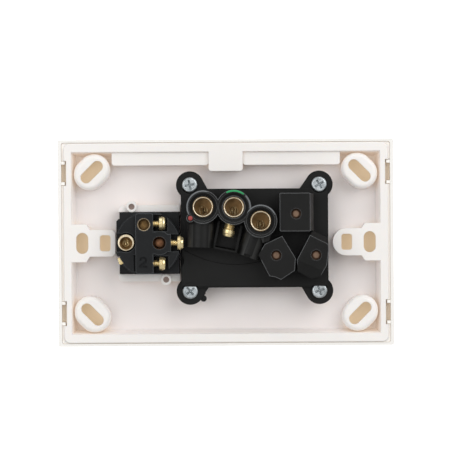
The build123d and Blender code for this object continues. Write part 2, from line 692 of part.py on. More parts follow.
# ---- switch: round moulding with the terminal lobes ----------------------------------------
with BuildPart() as switch_body:
    with BuildSketch(back(w_sw_base + 0.02)):
        with Locations((switch_u, switch_v)):
            Circle(switch_r)
    extrude(amount=w_sw_round - w_sw_base - 0.02)
    chamfer(switch_body.faces().sort_by(Axis.Y)[-1].outer_wire().edges(), length=0.35)
    with BuildSketch(back(w_sw_base)):
        with Locations((-27.1, 0.0)):
            Rectangle(21.7, 21.4)
    extrude(amount=w_sw_round - w_sw_base + 1, mode=Mode.INTERSECT)
    with BuildSketch(back(w_sw_round - 1)):
        with Locations((-28.08, -0.1)):
            RectangleRounded(6.04, 20.6, 0.8)
        with Locations((-22.95, 0.05)):
            Circle(4.1)
        with Locations((-25.0, 0.05)):
            Rectangle(3.0, 7.6)
        with Locations((-19.3, 0.05)):
            Rectangle(4.4, 6.0)
    extrude(amount=w_sw_column - w_sw_round + 1)
    # round well of the loop terminal, open to the left
    with BuildSketch(back(w_sw_round - 5.4)):
        with BuildLine():
            Polyline((-39, 3.4), (-34.5, 3.4), (-34.5, -2.9), (-39, -2.9), (-39, 3.4))
        make_face()
        with Locations((-34.5, 0.25)):
            Circle(3.4)
    extrude(amount=10, mode=Mode.SUBTRACT)
    # notch in the outline for the bent strip
    with BuildSketch(back(w_sw_base - 0.1)):
        with BuildLine():
            Polyline((-38.5, -4.6), (-36.6, -4.6), (-35.2, -7.1), (-36.2, -7.8), (-38.5, -7.8), (-38.5, -4.6))
        make_face()
    extrude(amount=10, mode=Mode.SUBTRACT)
    # open recesses for the three screw heads
    with BuildSketch(back(5.9)):
        with Locations((-22.6, 6.95)):
            Rectangle(5.0, 5.8)
        with Locations((-22.4, -7.45)):
            Rectangle(5.2, 5.9)
        with Locations((-16.0, 0.05)):
            Rectangle(6.0, 6.0)
    extrude(amount=10, mode=Mode.SUBTRACT)
    # gap between the column and the lower left flank
    with BuildSketch(back(w_sw_round - 1.6)):
        with Locations((-31.5, -6.9)):
            Rectangle(0.8, 5.8)
    extrude(amount=6, mode=Mode.SUBTRACT)
    # chamber of the moving contact
    with BuildSketch(back(w_sw_base - 0.5)):
        with Locations((-27.4, 0)):
            Rectangle(5.4, 17.0)
        with Locations((-24.4, 0.05)):
            Rectangle(6.0, 3.4)
    extrude(amount=7.6 - w_sw_base + 0.5, mode=Mode.SUBTRACT)
    # bores of the three terminals; the lower one stays closed by a skin
    with BuildSketch(back(7.0)):
        with Locations((-28.3, 6.4), (-28.3, -6.5)):
            Circle(2.4 + run)
        with Locations((-22.95, 0.05)):
            Circle(2.4 + run)
    extrude(amount=11.2 - 7.0, mode=Mode.SUBTRACT)
    with BuildSketch(back(11.0)):
        with Locations((-28.3, 6.4)):
            Circle(2.2)
        with Locations((-22.95, 0.05)):
            Circle(2.25)
    extrude(amount=3, mode=Mode.SUBTRACT)
    # passages of the three screws
    with BuildSketch(beside(-31.0)):
        with Locations((6.7, 0), (-7.0, 0)):
            Circle(1.2 + run)
    extrude(amount=7, mode=Mode.SUBTRACT)
    with BuildSketch(beside(-23.0)):
        with Locations((0.05, 0)):
            Circle(1.2 + run)
    extrude(amount=7, mode=Mode.SUBTRACT)
    # plain numeral on the closed terminal
    with BuildSketch(back(w_sw_column)):
        with Locations((-28.5, -5.95)):
            Circle(1.25)
            Circle(0.7, mode=Mode.SUBTRACT)
        with Locations((-29.3, -6.75)):
            Rectangle(1.7, 1.5, mode=Mode.SUBTRACT)
        with BuildLine():
            Polyline((-27.7, -6.9), (-28.1, -6.4), (-29.85, -7.7), (-29.85, -8.25), (-29.1, -8.25), (-27.7, -6.9))
        make_face()
        with Locations((-28.5, -8.1)):
            Rectangle(2.7, 0.55)
    extrude(amount=-0.7, mode=Mode.SUBTRACT)

# ---- rocker and what rides on it -----------------------------------------------------------
rock = tilted(rock_u, rock_w, rock_tilt)
with BuildPart() as rocker:
    with BuildSketch(Plane(rock.origin, x_dir=rock.z_dir, z_dir=(-1, 0, 0))):
        Circle(9.35)
        with BuildLine():
            Polyline((-2.5, -10), (-3.6, 0), (-2.5, 10), (1.4, 10), (1.4, -10), (-2.5, -10))
        make_face(mode=Mode.INTERSECT)
    extrude(amount=5.95, both=True)
    fillet([e for e in rocker.edges() if e.center().Y < rock_w - 1.2 and e.length > 11], radius=0.35)
    with BuildSketch(Plane(rock.origin, x_dir=rock.z_dir, z_dir=(-1, 0, 0))):
        Circle(0.8)
    extrude(amount=7.2, both=True)
    with BuildSketch(rock.offset(1.2)):
        Rectangle(4.8, 4.6)
    extrude(amount=9.8)
    with BuildSketch(rock.offset(11.0)):
        Circle(1.5)
    extrude(amount=-9.0, mode=Mode.SUBTRACT)

with BuildPart() as rocker_plunger:
    with BuildSketch(rock.offset(8.6)):
        Circle(1.4)
    extrude(amount=4.0)
    with BuildSketch(rock.offset(12.6)):
        Circle(1.4)
    extrude(amount=0.8, taper=30)

with BuildPart() as rocker_spring:
    with BuildLine() as coil:
        Helix(pitch=1.0, height=5.6, radius=1.1, center=tuple(rock.offset(2.45).origin), direction=tuple(rock.z_dir))
    with BuildSketch(Plane(coil.line @ 0, z_dir=coil.line % 0)):
        Circle(0.2)
    sweep(path=coil.line, is_frenet=True)

# ---- moving contact, fixed contacts and the common strip -----------------------------------
see = tilted(-27.4, see_w, -see_tilt)
with BuildPart() as moving_contact:
    with BuildSketch(see.offset(-0.35)):
        Rectangle(4.0, 13.2)
    extrude(amount=0.7)
    with BuildSketch(see.offset(0.3)):
        with Locations((-0.9, 5.6), (-0.9, -5.6)):
            Circle(0.9)
    extrude(amount=0.2)

with BuildPart() as fixed_contact_one:
    with BuildSketch(back(7.1)):
        with Locations((-28.3, 6.4)):
            Circle(2.2)
    extrude(amount=0.7)

with BuildPart() as fixed_contact_two:
    with BuildSketch(back(7.1)):
        with Locations((-28.3, -6.5)):
            Circle(2.2)
    extrude(amount=0.7)

with BuildPart() as common_strip:
    with BuildSketch(back(6.4)):
        with Locations((-25.3, 0.05)):
            Rectangle(6.6, 1.5)
    extrude(amount=1.1)
    with BuildSketch(back(7.0)):
        with Locations((-22.95, 0.05)):
            Circle(1.6)
    extrude(amount=0.8)

# ---- tubes of the switch terminals ---------------------------------------------------------
with BuildPart() as switch_tube_one:
    with BuildSketch(back(7.85)):
        with Locations((-28.3, 6.4)):
            Circle(2.4)
            Circle(1.95, mode=Mode.SUBTRACT)
    extrude(amount=3.3)
    with BuildSketch(beside(-28.3)):
        with Locations((6.7, 0)):
            Circle(1.2 + run)
    extrude(amount=5, mode=Mode.SUBTRACT)

with BuildPart() as switch_tube_two:
    with BuildSketch(back(7.85)):
        with Locations((-28.3, -6.5)):
            Circle(2.4)
            Circle(1.95, mode=Mode.SUBTRACT)
    extrude(amount=3.3)
    with BuildSketch(beside(-28.3)):
        with Locations((-7.0, 0)):
            Circle(1.2 + run)
    extrude(amount=5, mode=Mode.SUBTRACT)

with BuildPart() as switch_tube_common:
    with BuildSketch(back(7.85)):
        with Locations((-22.95, 0.05)):
            Circle(2.4)
            Circle(1.95, mode=Mode.SUBTRACT)
    extrude(amount=3.3)
    with BuildSketch(beside(-22.95)):
        with Locations((0.05, 0)):
            Circle(1.2 + run)
    extrude(amount=5, mode=Mode.SUBTRACT)

# ---- screws of the switch terminals, backed out --------------------------------------------
with BuildPart() as switch_screw_one:
    with BuildSketch(beside(-26.1)):
        with Locations((6.7, 0)):
            Circle(1.2)
    extrude(amount=3.2)
    with BuildSketch(beside(-23.1)):
        with Locations((6.7, 0)):
            Circle(2.5)
    extrude(amount=2.2)
    fillet(switch_screw_one.edges().filter_by(GeomType.CIRCLE).sort_by(Axis.X)[0], radius=0.4)
    with BuildSketch(beside(-21.7)):
        with Locations((6.7, 0)):
            Rectangle(0.7, 6)
    extrude(amount=3, mode=Mode.SUBTRACT)

with BuildPart() as switch_screw_two:
    with BuildSketch(beside(-26.1)):
        with Locations((-7.0, 0)):
            Circle(1.2)
    extrude(amount=3.2)
    with BuildSketch(beside(-23.1)):
        with Locations((-7.0, 0)):
            Circle(2.5)
    extrude(amount=2.2)
    fillet(switch_screw_two.edges().filter_by(GeomType.CIRCLE).sort_by(Axis.X)[0], radius=0.4)
    with BuildSketch(beside(-21.7)):
        with Locations((-7.0, 0)):
            Rectangle(0.7, 6)
    extrude(amount=3, mode=Mode.SUBTRACT)

with BuildPart() as switch_screw_common:
    with BuildSketch(beside(-20.75)):
        with Locations((0.05, 0)):
            Circle(1.2)
    extrude(amount=4.2)
    with BuildSketch(beside(-16.8)):
        with Locations((0.05, 0)):
            Circle(2.5)
    extrude(amount=2.2)
    fillet(switch_screw_common.edges().filter_by(GeomType.CIRCLE).sort_by(Axis.X)[0], radius=0.4)
    with BuildSketch(beside(-15.4)):
        with Locations((0.05, 0)):
            Rectangle(0.7, 6)
    extrude(amount=3, mode=Mode.SUBTRACT)

# ---- loop terminal at the switch's left side -----------------------------------------------
with BuildPart() as loop_terminal:
    with BuildSketch(back(w_sw_base + 2.05)):
        with Locations((-34.5, 0.25)):
            Circle(2.8)
            Circle(1.9, mode=Mode.SUBTRACT)
    extrude(amount=4.2)
    with BuildSketch(back(w_sw_base + 2.05)):
        with Locations((-34.5, 0.25)):
            Circle(2.0)
    extrude(amount=0.5)

with BuildPart() as loop_strip:
    with BuildSketch(back(w_sw_base + 0.03)):
        with BuildLine():
            Polyline((-37.6, -5.2), (-36.9, -4.9), (-35.5, -7.0), (-36.4, -7.4), (-37.0, -7.2), (-37.6, -5.2))
        make_face()
    extrude(amount=2.6)

# ---- labels and files ----------------------------------------------------------------------
pieces = {
    "cover_plate": cover_plate,
    "base_plate": base_plate,
    "socket_body": socket_body,
    "socket_front_plate": socket_front_plate,
    "active_contact": active_contact,
    "neutral_contact": neutral_contact,
    "earth_contact": earth_contact,
    "active_terminal": active_terminal,
    "earth_terminal": earth_terminal,
    "neutral_terminal": neutral_terminal,
    "active_terminal_screw": active_terminal_screw,
    "earth_terminal_screw": earth_terminal_screw,
    "neutral_terminal_screw": neutral_terminal_screw,
    "socket_fixing_screws": socket_fixing_screws,
    "switch_base": switch_base,
    "switch_body": switch_body,
    "rocker": rocker,
    "rocker_plunger": rocker_plunger,
    "rocker_spring": rocker_spring,
    "moving_contact": moving_contact,
    "fixed_contact_one": fixed_contact_one,
    "fixed_contact_two": fixed_contact_two,
    "common_strip": common_strip,
    "switch_tube_one": switch_tube_one,
    "switch_tube_two": switch_tube_two,
    "switch_tube_common": switch_tube_common,
    "switch_screw_one": switch_screw_one,
    "switch_screw_two": switch_screw_two,
    "switch_screw_common": switch_screw_common,
    "loop_terminal": loop_terminal,
    "loop_strip": loop_strip,
}
for label, piece in pieces.items():
    piece.part.label = label
    export_step(piece.part, f"parts/{label}.step")
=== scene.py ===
import math

import bmesh
import bpy
from mathutils import Matrix, Vector


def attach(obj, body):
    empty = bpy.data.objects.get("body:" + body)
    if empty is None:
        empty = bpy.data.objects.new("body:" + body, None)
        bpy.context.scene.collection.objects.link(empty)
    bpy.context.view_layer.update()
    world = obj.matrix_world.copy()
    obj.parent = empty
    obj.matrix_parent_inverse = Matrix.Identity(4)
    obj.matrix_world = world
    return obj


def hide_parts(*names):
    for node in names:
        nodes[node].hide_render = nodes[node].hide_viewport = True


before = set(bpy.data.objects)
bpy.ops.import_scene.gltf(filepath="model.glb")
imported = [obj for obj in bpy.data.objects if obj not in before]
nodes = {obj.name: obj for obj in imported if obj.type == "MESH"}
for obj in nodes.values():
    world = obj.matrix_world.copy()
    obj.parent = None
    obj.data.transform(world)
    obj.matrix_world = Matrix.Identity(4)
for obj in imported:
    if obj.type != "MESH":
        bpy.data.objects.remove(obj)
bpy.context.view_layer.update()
MM = 0.001


def P(u, v, w):
    # u to the right and v up as seen from behind, w out of the back, in millimetres
    return Vector((-u * MM, w * MM, v * MM))


# ---------------------------------------------------------------- materials
def new_material(name):
    m = bpy.data.materials.new(name)
    m.use_nodes = True
    m.node_tree.nodes.clear()
    out = m.node_tree.nodes.new("ShaderNodeOutputMaterial")
    sh = m.node_tree.nodes.new("ShaderNodeBsdfPrincipled")
    m.node_tree.links.new(sh.outputs["BSDF"], out.inputs["Surface"])
    return m, m.node_tree, sh


def node(tree, kind, **inputs):
    n = tree.nodes.new(kind)
    for key, value in inputs.items():
        n.inputs[key].default_value = value
    return n


def coords(tree):
    return tree.nodes.new("ShaderNodeTexCoord").outputs["Object"]


def noise(tree, co, scale, detail=3.0, rough=0.5, stretch=None):
    if stretch is not None:
        mp = tree.nodes.new("ShaderNodeMapping")
        mp.inputs["Scale"].default_value = stretch
        tree.links.new(co, mp.inputs["Vector"])
        co = mp.outputs["Vector"]
    n = tree.nodes.new("ShaderNodeTexNoise")
    n.inputs["Scale"].default_value = scale
    n.inputs["Detail"].default_value = detail
    n.inputs["Roughness"].default_value = rough
    tree.links.new(co, n.inputs["Vector"])
    return n.outputs["Fac"]


def ramp(tree, fac, stops):
    r = tree.nodes.new("ShaderNodeValToRGB")
    el = r.color_ramp.elements
    while len(el) < len(stops):
        el.new(0.5)
    for e, (pos, col) in zip(el, stops):
        e.position = pos
        e.color = (*col, 1.0)
    tree.links.new(fac, r.inputs["Fac"])
    return r.outputs["Color"]


def spread(tree, fac, low, high):
    r = tree.nodes.new("ShaderNodeMapRange")
    r.inputs["From Min"].default_value = 0.3
    r.inputs["From Max"].default_value = 0.7
    r.inputs["To Min"].default_value = low
    r.inputs["To Max"].default_value = high
    tree.links.new(fac, r.inputs["Value"])
    return r.outputs["Result"]


def bump(tree, sh, height, strength, distance, edge=None):
    b = tree.nodes.new("ShaderNodeBump")
    b.inputs["Strength"].default_value = strength
    b.inputs["Distance"].default_value = distance
    tree.links.new(height, b.inputs["Height"])
    if edge:
        bv = tree.nodes.new("ShaderNodeBevel")
        bv.samples = 4
        bv.inputs["Radius"].default_value = edge
        tree.links.new(bv.outputs["Normal"], b.inputs["Normal"])
    tree.links.new(b.outputs["Normal"], sh.inputs["Normal"])


def blend(tree, fac, one, two):
    mix = tree.nodes.new("ShaderNodeMix")
    mix.data_type = "RGBA"
    tree.links.new(fac, mix.inputs["Factor"])
    for key, c in (("A", one), ("B", two)):
        if isinstance(c, tuple):
            mix.inputs[key].default_value = (*c, 1.0)
        else:
            tree.links.new(c, mix.inputs[key])
    return mix.outputs["Result"]


def openness(tree, distance, low, high, own):
    # 0 in deep corners, 1 on open faces
    ao = tree.nodes.new("ShaderNodeAmbientOcclusion")
    ao.samples = 6
    ao.only_local = own
    ao.inputs["Distance"].default_value = distance
    r = tree.nodes.new("ShaderNodeMapRange")
    r.interpolation_type = "SMOOTHSTEP"
    r.inputs["From Min"].default_value = low
    r.inputs["From Max"].default_value = high
    tree.links.new(ao.outputs["AO"], r.inputs["Value"])
    return r.outputs["Result"]


def edge_mask(tree, radius, low, high):
    # 0 on flat faces, rising towards sharp edges
    bv = tree.nodes.new("ShaderNodeBevel")
    bv.samples = 6
    bv.inputs["Radius"].default_value = radius
    geo = tree.nodes.new("ShaderNodeNewGeometry")
    dot = tree.nodes.new("ShaderNodeVectorMath")
    dot.operation = "DOT_PRODUCT"
    tree.links.new(bv.outputs["Normal"], dot.inputs[0])
    tree.links.new(geo.outputs["Normal"], dot.inputs[1])
    r = tree.nodes.new("ShaderNodeMapRange")
    r.inputs["From Min"].default_value = high
    r.inputs["From Max"].default_value = low
    tree.links.new(dot.outputs["Value"], r.inputs["Value"])
    return r.outputs["Result"]


def level(tree, co, low, high):
    # 0 below the first height along Y and 1 above the second, both in millimetres
    sep = tree.nodes.new("ShaderNodeSeparateXYZ")
    tree.links.new(co, sep.inputs["Vector"])
    r = tree.nodes.new("ShaderNodeMapRange")
    r.inputs["From Min"].default_value = low * MM
    r.inputs["From Max"].default_value = high * MM
    tree.links.new(sep.outputs["Y"], r.inputs["Value"])
    return r.outputs["Result"]


def times(tree, one, two):
    n = tree.nodes.new("ShaderNodeMath")
    n.operation = "MULTIPLY"
    tree.links.new(one, n.inputs[0])
    tree.links.new(two, n.inputs[1])
    return n.outputs["Value"]


def math_node(tree, kind, one, two):
    n = tree.nodes.new("ShaderNodeMath")
    n.operation = kind
    for i, value in enumerate((one, two)):
        if isinstance(value, (int, float)):
            n.inputs[i].default_value = value
        else:
            tree.links.new(value, n.inputs[i])
    return n.outputs["Value"]


def outside_box(tree, co, half_u, half_v):
    # 1 outside a centred rectangle of the plate's plane, 0 inside
    flip = tree.nodes.new("ShaderNodeVectorMath")
    flip.operation = "ABSOLUTE"
    tree.links.new(co, flip.inputs[0])
    sep = tree.nodes.new("ShaderNodeSeparateXYZ")
    tree.links.new(flip.outputs["Vector"], sep.inputs["Vector"])
    far = math_node(tree, "MAXIMUM", math_node(tree, "SUBTRACT", sep.outputs["X"], half_u * MM), math_node(tree, "SUBTRACT", sep.outputs["Z"], half_v * MM))
    return math_node(tree, "GREATER_THAN", far, 0.0)


def nearest_spot(tree, co, spots):
    # distance in the plate's plane to the nearest of the points
    best = None
    for u, v in spots:
        mp = tree.nodes.new("ShaderNodeMapping")
        mp.inputs["Location"].default_value = (u * MM, 0.0, -v * MM)
        tree.links.new(co, mp.inputs["Vector"])
        flat = tree.nodes.new("ShaderNodeVectorMath")
        flat.operation = "MULTIPLY"
        flat.inputs[1].default_value = (1.0, 0.0, 1.0)
        tree.links.new(mp.outputs["Vector"], flat.inputs[0])
        ln = tree.nodes.new("ShaderNodeVectorMath")
        ln.operation = "LENGTH"
        tree.links.new(flat.outputs["Vector"], ln.inputs[0])
        best = ln.outputs["Value"] if best is None else math_node(tree, "MINIMUM", best, ln.outputs["Value"])
    return best


def band(tree, value, low, high):
    # 0 at the first distance and 1 at the second, in millimetres
    r = tree.nodes.new("ShaderNodeMapRange")
    r.inputs["From Min"].default_value = low * MM
    r.inputs["From Max"].default_value = high * MM
    tree.links.new(value, r.inputs["Value"])
    return r.outputs["Result"]


def pit_mask(tree, co, painted_pit_shade):
    # 0 inside the small round holes of the back, 1 elsewhere
    return math_node(tree, "MAXIMUM", band(tree, nearest_spot(tree, co, painted_pit_shade[0]), painted_pit_shade[1], painted_pit_shade[2]), level(tree, co, -2.9, -3.0))


def plastic(name, dark, light, rough, grain=5200.0, depth=0.00002, edge=0.00025, spec=0.5, sss=0.0, painted_shade_and_glow=None, painted_edge_highlight=None,
            painted_gap_glow=None, painted_pit_shade=None, smoother_patch_and_painted_sheen=None, calm=None, painted_floor_shade=None, painted_notch_shade=None, painted_wall_glow=None):
    m, t, sh = new_material(name)
    co = coords(t)
    col = ramp(t, noise(t, co, 60.0, 4.0), [(0.3, dark), (0.7, light)])
    if painted_floor_shade is not None:
        # painted shade: the floor of the pocket is multiplied a little darker than the rim, and a touch cooler in tone
        up = math_node(t, "MAXIMUM", level(t, co, painted_floor_shade[0], painted_floor_shade[1]), level(t, co, -9.3, -9.5))
        col = blend_multiply(t, col, blend(t, up, painted_floor_shade[2], (1.0, 1.0, 1.0)))
    if painted_notch_shade is not None:
        # painted shade: the floors of the notches in the rim are coloured a darker tan
        half_u, y0, y1, tint = painted_notch_shade
        here = math_node(t, "MULTIPLY", level(t, co, y0 - 0.01, y0), level(t, co, y1 + 0.01, y1))
        here = math_node(t, "MULTIPLY", here, outside_box(t, co, half_u, 100.0))
        col = blend(t, here, col, tint)
    painted_glow = (0.0, 0.0, 0.0)
    if painted_gap_glow is not None:
        # painted glow: a pale emitted light inside the seam between cover and base
        half_u, half_v, outer, pale = painted_gap_glow
        mask = outside_box(t, co, half_u, half_v)
        painted_glow = blend(t, mask, (0.0, 0.0, 0.0) if outer else pale, pale if outer else (0.0, 0.0, 0.0))
        painted_glow = blend(t, level(t, co, -9.25, -9.2), (0.0, 0.0, 0.0), painted_glow)
    if painted_wall_glow is not None:
        # painted glow: the upright walls of the pocket emit a pale light that lifts their shade
        half_u, half_v, pale = painted_wall_glow
        geo = t.nodes.new("ShaderNodeNewGeometry")
        sep = t.nodes.new("ShaderNodeSeparateXYZ")
        t.links.new(geo.outputs["Normal"], sep.inputs["Vector"])
        r = t.nodes.new("ShaderNodeMapRange")
        r.inputs["From Min"].default_value = 0.75
        r.inputs["From Max"].default_value = 0.35
        t.links.new(sep.outputs["Y"], r.inputs["Value"])
        upright = math_node(t, "MULTIPLY", r.outputs["Result"], level(t, co, -7.1, -7.0))
        inside = math_node(t, "SUBTRACT", 1.0, outside_box(t, co, half_u, half_v))
        painted_glow = blend(t, math_node(t, "MULTIPLY", upright, inside), painted_glow, pale)
    if painted_shade_and_glow is not None:
        # painted shade and painted glow: deep corners found by ambient occlusion, or a band between two heights, are
        # tinted warm and emit a faint warm light
        tint, distance, low, high, own, glow, strength = painted_shade_and_glow
        if distance:
            wide = openness(t, distance, low, high, own)
        else:
            wide = math_node(t, "MAXIMUM", level(t, co, low, high), level(t, co, low - 0.15, low - 0.2))
        col = blend(t, wide, tint, col)
        t.links.new(blend(t, wide, tuple(c * strength for c in glow), painted_glow), sh.inputs["Emission Color"])
        sh.inputs["Emission Strength"].default_value = 1.0
    if painted_edge_highlight is not None:
        # painted highlight: sharp edges above a given height are lightened towards a grey tint, except in the holes and
        # near the given spots
        tint, radius, low, high, y0, y1 = painted_edge_highlight
        fac = times(t, edge_mask(t, radius, low, high), level(t, co, y0, y1))
        if painted_pit_shade is not None:
            fac = times(t, fac, pit_mask(t, co, painted_pit_shade))
        if calm is not None:
            fac = times(t, fac, band(t, nearest_spot(t, co, calm[0]), calm[1], calm[2]))
        col = blend(t, fac, col, tint)
    if painted_pit_shade is not None:
        # painted shade: inside the small round holes the colour is set dark
        col = blend(t, pit_mask(t, co, painted_pit_shade), painted_pit_shade[3], col)
    coarse = spread(t, noise(t, co, 240.0, 4.0, 0.6), rough[0], rough[1])
    if smoother_patch_and_painted_sheen is not None:
        # a smoother patch between two heights of the plate's plane and two distances from its centre line
        u0, u1, v0, v1, smooth, painted_sheen_colour = smoother_patch_and_painted_sheen
        sep = t.nodes.new("ShaderNodeSeparateXYZ")
        t.links.new(co, sep.inputs["Vector"])
        inside = math_node(t, "MULTIPLY", math_node(t, "GREATER_THAN", sep.outputs["Z"], v0 * MM), math_node(t, "LESS_THAN", sep.outputs["Z"], v1 * MM))
        across = math_node(t, "MULTIPLY", math_node(t, "GREATER_THAN", sep.outputs["X"], -u1 * MM), math_node(t, "LESS_THAN", sep.outputs["X"], -u0 * MM))
        inside = math_node(t, "MULTIPLY", math_node(t, "MULTIPLY", inside, across), math_node(t, "GREATER_THAN", sep.outputs["Y"], 4.0 * MM))
        mix = t.nodes.new("ShaderNodeMix")
        t.links.new(inside, mix.inputs["Factor"])
        t.links.new(coarse, mix.inputs["A"])
        t.links.new(spread(t, noise(t, co, 500.0, 4.0, 0.6), smooth[0], smooth[1]), mix.inputs["B"])
        coarse = mix.outputs["Result"]
        # painted sheen: below the hex tops the hoods' base colour is lifted to a pale grey
        painted_hood_sheen = math_node(t, "MULTIPLY", inside, level(t, co, 13.03, 13.02))
        # the painted sheen leaves the window of the middle screw dark
        painted_hood_sheen = math_node(t, "MULTIPLY", painted_hood_sheen, band(t, nearest_spot(t, co, ((1.4, 5.5), (0.6, 2.0), (-0.1, -1.5), (-0.8, -4.8))), 5.4, 6.2))
        col = blend(t, painted_hood_sheen, col, painted_sheen_colour)
    t.links.new(col, sh.inputs["Base Color"])
    t.links.new(coarse, sh.inputs["Roughness"])
    bump(t, sh, noise(t, co, grain, 2.0), 0.35, depth, edge)
    sh.inputs["Specular IOR Level"].default_value = spec
    if sss:
        sh.inputs["Subsurface Weight"].default_value = sss
        sh.inputs["Subsurface Radius"].default_value = (1.0, 0.75, 0.5)
        sh.inputs["Subsurface Scale"].default_value = 0.0012
    return m


def metal(name, dark, light, rough, brush=(1, 1, 1), scale=1500.0, depth=0.00002, edge=0.00012, tarnish=None, share=1.0, rim=None):
    m, t, sh = new_material(name)
    co = coords(t)
    col = ramp(t, noise(t, co, 420.0, 5.0, 0.6), [(0.32, dark), (0.62, light)])
    if tarnish is not None:
        mix = t.nodes.new("ShaderNodeMix")
        mix.data_type = "RGBA"
        fac = ramp(t, noise(t, co, 900.0, 4.0, 0.7), [(0.52, (0, 0, 0)), (0.68, (0.7, 0.7, 0.7))])
        t.links.new(fac, mix.inputs["Factor"])
        t.links.new(col, mix.inputs["A"])
        mix.inputs["B"].default_value = (*tarnish, 1.0)
        col = mix.outputs["Result"]
    if rim is not None:
        # painted highlight and painted shade: the colour is multiplied by tones that change with the distance from the
        # axis of the nearest tube
        spots, stops = rim
        reach = stops[-1][0]
        col = blend_multiply(t, col, ramp(t, band(t, nearest_spot(t, co, spots), 0.0, reach), [(d / reach, c) for d, c in stops]))
    t.links.new(col, sh.inputs["Base Color"])
    t.links.new(spread(t, noise(t, co, 700.0, 4.0, 0.6), rough[0], rough[1]), sh.inputs["Roughness"])
    bump(t, sh, noise(t, co, scale, 3.0, 0.6, brush), 0.4, depth, edge)
    sh.inputs["Metallic"].default_value = share
    return m


def blend_multiply(tree, one, two):
    mix = tree.nodes.new("ShaderNodeMix")
    mix.data_type = "RGBA"
    mix.blend_type = "MULTIPLY"
    mix.inputs["Factor"].default_value = 1.0
    tree.links.new(one, mix.inputs["A"])
    tree.links.new(two, mix.inputs["B"])
    return mix.outputs["Result"]


t1, t2, t3 = (-7.85, 12.35), (2.73, 12.18), (11.95, 7.4)
socket_at = (24.15, -0.45)
reach_u, reach_v = 7.92 * math.sin(math.radians(60)), 7.92 * math.cos(math.radians(60))
pins = ((socket_at[0] - reach_u, socket_at[1] - reach_v), (socket_at[0] + reach_u, socket_at[1] - reach_v), (socket_at[0], socket_at[1] + 10.31))
posts = ((-32.8, 12.65), (-20.9, -12.8))
# white moulding: painted shade and glow in deep corners, painted glow in the seam and on the pocket walls, painted
# shade in the post holes, on the pocket floor and on the notch floors
white = plastic("white_moulding", (0.84, 0.815, 0.79), (0.865, 0.84, 0.815), (0.34, 0.46), sss=0.08,
                painted_shade_and_glow=((0.80, 0.70, 0.60), 0.0045, 0.16, 0.56, True, (1.0, 0.85, 0.73), 0.09),
                painted_gap_glow=(56.47, 34.77, True, (0.085, 0.070, 0.055)), painted_pit_shade=(posts, 0.98, 1.08, (0.22, 0.16, 0.14)),
                painted_floor_shade=(-4.5, -1.5, (0.93, 0.905, 0.915)), painted_notch_shade=(55.4, -2.5, -2.3, (0.66, 0.55, 0.42)), painted_wall_glow=(53.9, 31.9, (0.115, 0.100, 0.092)))
cover_white = plastic("white_cover_gloss", (0.86, 0.845, 0.815), (0.88, 0.865, 0.835), (0.20, 0.28), depth=0.00001, sss=0.08)
# inner face of the cover: painted tan shade and warm glow where it is seen through the slots, painted glow inside the
# seam
inner_white = plastic("white_cover_thin", (0.86, 0.845, 0.815), (0.88, 0.865, 0.835), (0.20, 0.28), depth=0.00001,
                      painted_shade_and_glow=((0.76, 0.61, 0.45), 0, -9.15, -8.9, False, (1.0, 0.84, 0.50), 0.190),
                      painted_gap_glow=(57.23, 35.03, False, (0.075, 0.062, 0.048)))
# black moulding: painted highlights on its top edges, painted shade round the pin holes, and a painted sheen on the
# hoods
black = plastic("black_moulding", (0.0035, 0.0036, 0.0034), (0.0065, 0.0067, 0.0064), (0.36, 0.50), grain=4200.0, depth=0.00004,
                edge=0.00028, spec=0.19, painted_edge_highlight=((0.16, 0.165, 0.17), 0.00055, 0.84, 0.985, 13.04, 13.2),
                painted_pit_shade=(pins, 1.55, 1.95, (0.010, 0.006, 0.005)), smoother_patch_and_painted_sheen=(-13.5, 13.0, -7.6, 6.4, (0.34, 0.46), (0.027, 0.027, 0.026)),
                calm=(((-9.6, -2.6), (-6.9, -2.6), (6.6, -5.0), (9.0, -4.2)), 3.4, 3.8))
# painted highlights on the top edges of the switch moulding
switch_black = plastic("black_switch_moulding", (0.0045, 0.0055, 0.0065), (0.008, 0.009, 0.010), (0.36, 0.50), grain=4200.0,
                       depth=0.00004, edge=0.00025, spec=0.20, painted_edge_highlight=((0.09, 0.097, 0.103), 0.00040, 0.84, 0.985, 9.4, 9.9),
                       calm=(((-28.5, -6.9),), 2.2, 2.5))
fibre = plastic("insulating_sheet", (0.03, 0.028, 0.026), (0.05, 0.046, 0.04), (0.55, 0.7), grain=3000.0)
nylon = plastic("dark_nylon", (0.02, 0.02, 0.02), (0.035, 0.035, 0.035), (0.4, 0.5))
# painted shade inside the bore of each tube, a thin painted highlight ring at its rim, and painted shade just beyond it
painted_bore_shade = (0.20, 0.135, 0.075)
brass = metal("brass_tube", (0.76, 0.62, 0.42), (0.94, 0.84, 0.66), (0.18, 0.30), depth=0.00001, edge=0.00055, share=1.0,
              rim=((t1, t2, t3), [(0.0, painted_bore_shade), (3.0, painted_bore_shade), (3.08, (0.55, 0.5, 0.45)), (3.16, (1, 1, 1)), (3.28, (1, 1, 1)), (3.4, (0.3, 0.24, 0.18)), (3.55, (0.10, 0.07, 0.04)), (4.0, (0.1, 0.07, 0.04))]))
bright_brass = metal("brass_screw", (0.78, 0.58, 0.26), (0.98, 0.84, 0.50), (0.20, 0.34), share=0.84)
copper = metal("copper_strip", (0.50, 0.34, 0.24), (0.66, 0.46, 0.34), (0.34, 0.5), tarnish=(0.36, 0.24, 0.17))
zinc = metal("zinc_plate", (0.27, 0.30, 0.315), (0.54, 0.58, 0.60), (0.26, 0.46), scale=1800.0, depth=0.00009)
switch_holes = ((-28.3, 6.4), (-28.3, -6.5), (-22.95, 0.05))
